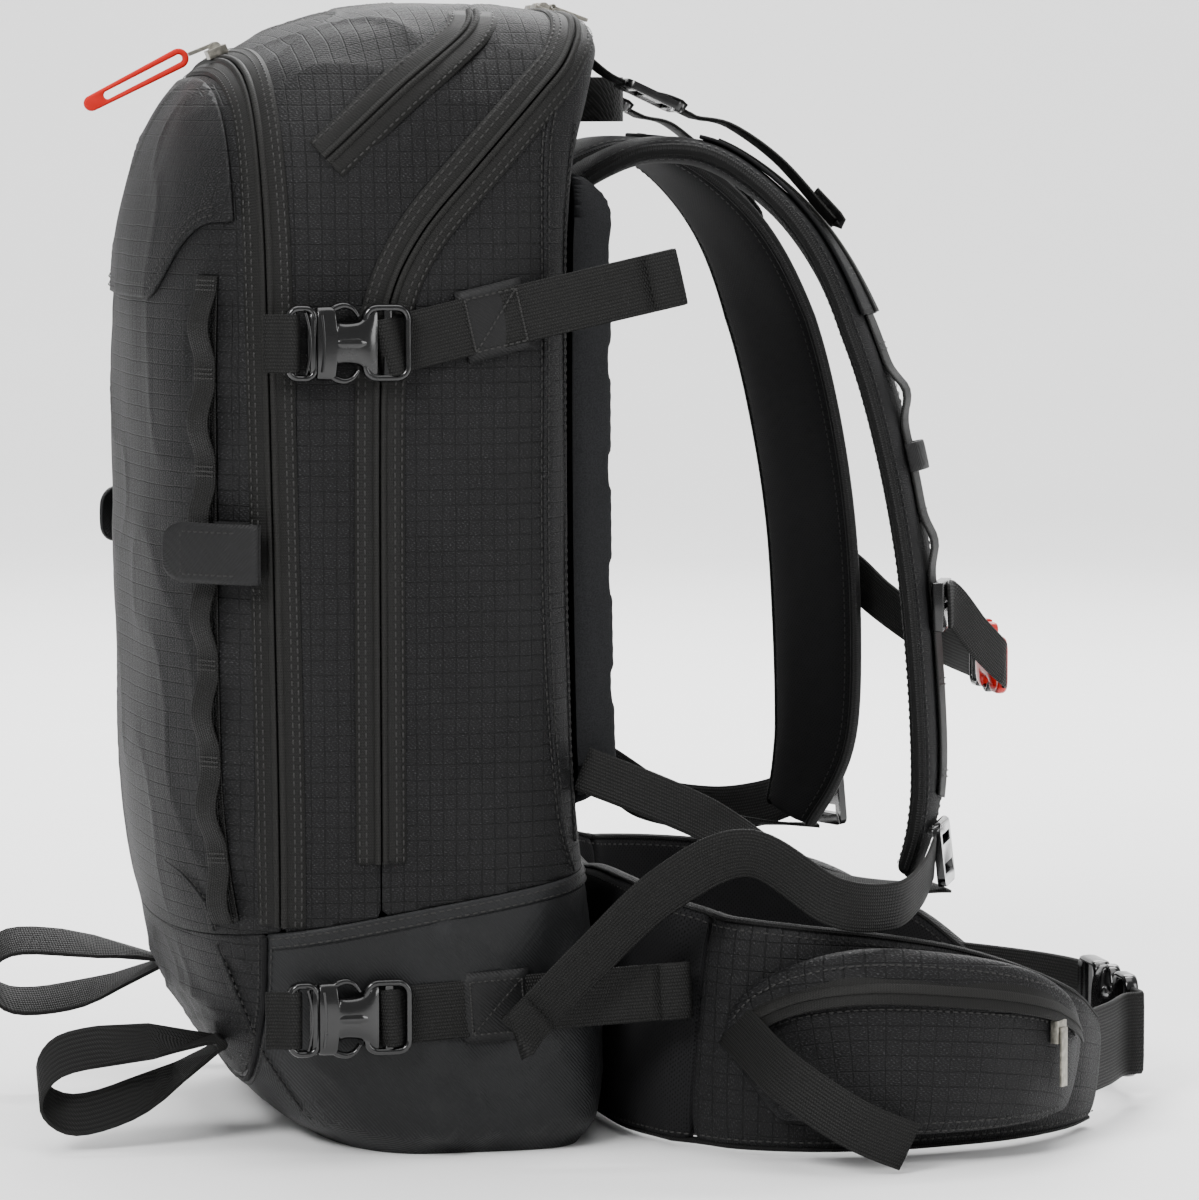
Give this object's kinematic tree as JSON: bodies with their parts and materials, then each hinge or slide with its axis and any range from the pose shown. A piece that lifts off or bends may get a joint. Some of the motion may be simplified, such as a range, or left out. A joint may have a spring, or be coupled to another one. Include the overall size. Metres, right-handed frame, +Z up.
{
  "type": "backpack",
  "caption": "Ski-touring backpack with zipped main body and front tool pocket, foam back, padded shoulder straps, buckled chest strap, pocketed hip belt and webbing trim",
  "frame": {"origin": "the middle of the flat base the pack stands on", "axes": "+X from the pack towards the wearer's back, +Y to the wearer's left, +Z up"},
  "size_m": [0.5245, 0.4258, 0.5046],
  "materials": {
    "pack_fabric": "ripstop weave, charcoal",
    "boot_fabric": "coated, matt slate",
    "pad_fabric": "padded, spacer mesh and plain weave",
    "back_foam": "moulded foam, dark grey",
    "lining": "thin grey lining",
    "webbing": "woven nylon webbing, black",
    "zip_tape": "coil zip tape, black",
    "keeper_rubber": "rubbery coated sheet",
    "buckle_plastic": "moulded acetal, black",
    "red_plastic": "moulded, red",
    "red_cord": "red cord pull",
    "zip_metal": "dark plated",
    "frame_sheet": "polyethylene sheet",
    "stay": "flat bar"
  },
  "bodies": {
    "root": {"rear_shell": "pack_fabric", "base_tub": "boot_fabric", "back_foam": "back_foam", "frame_sheet": "frame_sheet", "frame_stays": "stay", "lining_sleeves": "lining", "lumbar_pad": "pad_fabric", "shoulder_pad_right": "pad_fabric", "shoulder_pad_left": "pad_fabric", "shoulder_webbing": "webbing", "load_lifter_webbing": "webbing", "compression_straps": "webbing", "side_buckle_sockets": "buckle_plastic", "main_zip_rear_tape": "zip_tape"},
    "front_section": {"front_section_shell": "pack_fabric", "pocket_divider": "lining", "section_zip_tapes": "zip_tape", "goggle_zip": "zip_tape"},
    "lid": {"lid_shell": "pack_fabric", "lid_webbing": "webbing", "front_zip_tape": "zip_tape"},
    "haul_loop": {"haul_handle": "webbing"},
    "front_zip_slider": {"front_slider": "zip_metal"},
    "red_pull": {"front_pull": "red_cord"},
    "axe_loop_right_body": {"axe_loop_right": "webbing"},
    "keeper_right": {"shaft_keeper_right": "keeper_rubber"},
    "upper_plug_right": {"upper_latch_right": "buckle_plastic", "upper_prongs_right": "buckle_plastic"},
    "lower_plug_right": {"lower_latch_right": "buckle_plastic"},
    "main_zip_slider_right": {"main_slider_right": "zip_metal"},
    "main_zip_pull_right": {"main_pull_right": "zip_metal"},
    "belt_half_right": {"belt_wing_right": "pad_fabric", "belt_pocket_right": "pack_fabric", "belt_webbing_right": "webbing", "belt_socket": "buckle_plastic"},
    "pocket_zip_slider_right": {"pocket_slider_right": "zip_metal"},
    "lifter_buckle_right": {"lifter_lock_right": "buckle_plastic"},
    "strap_buckle_right": {"shoulder_lock_right": "buckle_plastic"},
    "chest_clip_right": {"sternum_clip_right": "buckle_plastic"},
    "chest_strap_right": {"sternum_webbing_right": "webbing", "sternum_socket": "red_plastic"},
    "axe_loop_left_body": {"axe_loop_left": "webbing"},
    "keeper_left": {"shaft_keeper_left": "keeper_rubber"},
    "upper_plug_left": {"upper_latch_left": "buckle_plastic", "upper_prongs_left": "buckle_plastic"},
    "lower_plug_left": {"lower_latch_left": "buckle_plastic"},
    "main_zip_slider_left": {"main_slider_left": "zip_metal"},
    "main_zip_pull_left": {"main_pull_left": "zip_metal"},
    "belt_half_left": {"belt_wing_left": "pad_fabric", "belt_pocket_left": "pack_fabric", "belt_webbing_left": "webbing", "belt_latch": "buckle_plastic", "belt_prongs": "buckle_plastic"},
    "pocket_zip_slider_left": {"pocket_slider_left": "zip_metal"},
    "lifter_buckle_left": {"lifter_lock_left": "buckle_plastic"},
    "strap_buckle_left": {"shoulder_lock_left": "buckle_plastic"},
    "chest_clip_left": {"sternum_clip_left": "buckle_plastic"},
    "chest_strap_left": {"sternum_webbing_left": "webbing", "sternum_latch": "buckle_plastic", "sternum_prongs": "buckle_plastic"}
  },
  "joints": [
    {"name": "main_opening", "type": "hinge", "parent": "root", "child": "front_section", "pos_m": [-0.1248, 0, 0.095], "axis": [0, -1, 0], "range_deg": [0, 75]},
    {"name": "tool_pocket_opening", "type": "hinge", "parent": "front_section", "child": "lid", "pos_m": [-0.1248, 0, 0.095], "axis": [0, 1, 0], "range_deg": [-75, 0]},
    {"name": "front_zip_travel", "type": "slide", "parent": "lid", "child": "front_zip_slider", "axis": [0, 1, 0], "range_m": [-0.045, 0.045]},
    {"name": "red_pull_swing", "type": "hinge", "parent": "front_zip_slider", "child": "red_pull", "pos_m": [-0.10882, 0, 0.47901], "axis": [0, 1, 0], "range_deg": [-25, 70]},
    {"name": "haul_loop_lift", "type": "hinge", "parent": "root", "child": "haul_loop", "pos_m": [0.06399, 0, 0.47081], "axis": [0, -1, 0], "range_deg": [0, 45]},
    {"name": "axe_loop_swing_right", "type": "hinge", "parent": "root", "child": "axe_loop_right_body", "pos_m": [-0.10425, -0.0756, 0.046], "axis": [0, 1, 0], "range_deg": [-12, 48]},
    {"name": "keeper_opening_right", "type": "hinge", "parent": "lid", "child": "keeper_right", "pos_m": [-0.1325, -0.109, 0.2666], "axis": [0, 0, -1], "range_deg": [0, 85]},
    {"name": "upper_buckle_release_right", "type": "slide", "parent": "lid", "child": "upper_plug_right", "axis": [-1, 0, 0], "range_m": [0, 0.024], "deforming": ["upper_prongs_right"]},
    {"name": "lower_buckle_release_right", "type": "slide", "parent": "root", "child": "lower_plug_right", "axis": [-1, 0, 0], "range_m": [0, 0.024]},
    {"name": "main_zip_travel_right", "type": "slide", "parent": "front_section", "child": "main_zip_slider_right", "axis": [0, -1, 0], "range_m": [0, 0.045]},
    {"name": "main_pull_swing_right", "type": "hinge", "parent": "main_zip_slider_right", "child": "main_zip_pull_right", "pos_m": [0.06061, -0.0065, 0.50229], "axis": [0, -1, 0], "range_deg": [0, 130]},
    {"name": "belt_opening_right", "type": "hinge", "parent": "root", "child": "belt_half_right", "pos_m": [0.098, -0.139, 0.05], "axis": [0, 0, -1], "range_deg": [0, 35]},
    {"name": "pocket_zip_travel_right", "type": "slide", "parent": "belt_half_right", "child": "pocket_zip_slider_right", "axis": [-0.7048, -0.7048, 0.08], "range_m": [0, 0.014]},
    {"name": "lifter_buckle_tilt_right", "type": "hinge", "parent": "root", "child": "lifter_buckle_right", "pos_m": [0.10643, -0.056, 0.457], "axis": [0, 1, 0], "range_deg": [0, 45]},
    {"name": "strap_buckle_tilt_right", "type": "hinge", "parent": "root", "child": "strap_buckle_right", "pos_m": [0.21643, -0.1095, 0.139], "axis": [-0.3907, -0.9205, 0], "range_deg": [0, 60]},
    {"name": "chest_strap_height_right", "type": "slide", "parent": "root", "child": "chest_clip_right", "axis": [-0.083, 0, 0.9965], "range_m": [-0.02, 0.02]},
    {"name": "chest_strap_opening_right", "type": "hinge", "parent": "chest_clip_right", "child": "chest_strap_right", "pos_m": [0.21985, -0.10918, 0.236], "axis": [0, 0, -1], "range_deg": [0, 70]},
    {"name": "axe_loop_swing_left", "type": "hinge", "parent": "root", "child": "axe_loop_left_body", "pos_m": [-0.11066, 0.0756, 0.06], "axis": [0, 1, 0], "range_deg": [-24, 22]},
    {"name": "keeper_opening_left", "type": "hinge", "parent": "lid", "child": "keeper_left", "pos_m": [-0.1325, 0.109, 0.2666], "axis": [0, 0, 1], "range_deg": [0, 85]},
    {"name": "upper_buckle_release_left", "type": "slide", "parent": "lid", "child": "upper_plug_left", "axis": [-1, 0, 0], "range_m": [0, 0.024], "deforming": ["upper_prongs_left"]},
    {"name": "lower_buckle_release_left", "type": "slide", "parent": "root", "child": "lower_plug_left", "axis": [-1, 0, 0], "range_m": [0, 0.024]},
    {"name": "main_zip_travel_left", "type": "slide", "parent": "front_section", "child": "main_zip_slider_left", "axis": [0, 1, 0], "range_m": [0, 0.045]},
    {"name": "main_pull_swing_left", "type": "hinge", "parent": "main_zip_slider_left", "child": "main_zip_pull_left", "pos_m": [0.06061, 0.0065, 0.50229], "axis": [0, -1, 0], "range_deg": [0, 130]},
    {"name": "belt_opening_left", "type": "hinge", "parent": "root", "child": "belt_half_left", "pos_m": [0.098, 0.139, 0.05], "axis": [0, 0, 1], "range_deg": [0, 35], "deforming": ["belt_prongs"]},
    {"name": "pocket_zip_travel_left", "type": "slide", "parent": "belt_half_left", "child": "pocket_zip_slider_left", "axis": [-0.7048, 0.7048, 0.08], "range_m": [0, 0.014]},
    {"name": "lifter_buckle_tilt_left", "type": "hinge", "parent": "root", "child": "lifter_buckle_left", "pos_m": [0.10643, 0.056, 0.457], "axis": [0, 1, 0], "range_deg": [0, 45]},
    {"name": "strap_buckle_tilt_left", "type": "hinge", "parent": "root", "child": "strap_buckle_left", "pos_m": [0.21643, 0.1095, 0.139], "axis": [0.3907, -0.9205, 0], "range_deg": [0, 60]},
    {"name": "chest_strap_height_left", "type": "slide", "parent": "root", "child": "chest_clip_left", "axis": [-0.083, 0, 0.9965], "range_m": [-0.02, 0.02]},
    {"name": "chest_strap_opening_left", "type": "hinge", "parent": "chest_clip_left", "child": "chest_strap_left", "pos_m": [0.21985, 0.10918, 0.236], "axis": [0, 0, 1], "range_deg": [0, 70], "deforming": ["sternum_prongs"]}
  ],
  "couplings": [
    {"joint": "chest_strap_height_left", "follows": "chest_strap_height_right", "ratio": 1}
  ]
}
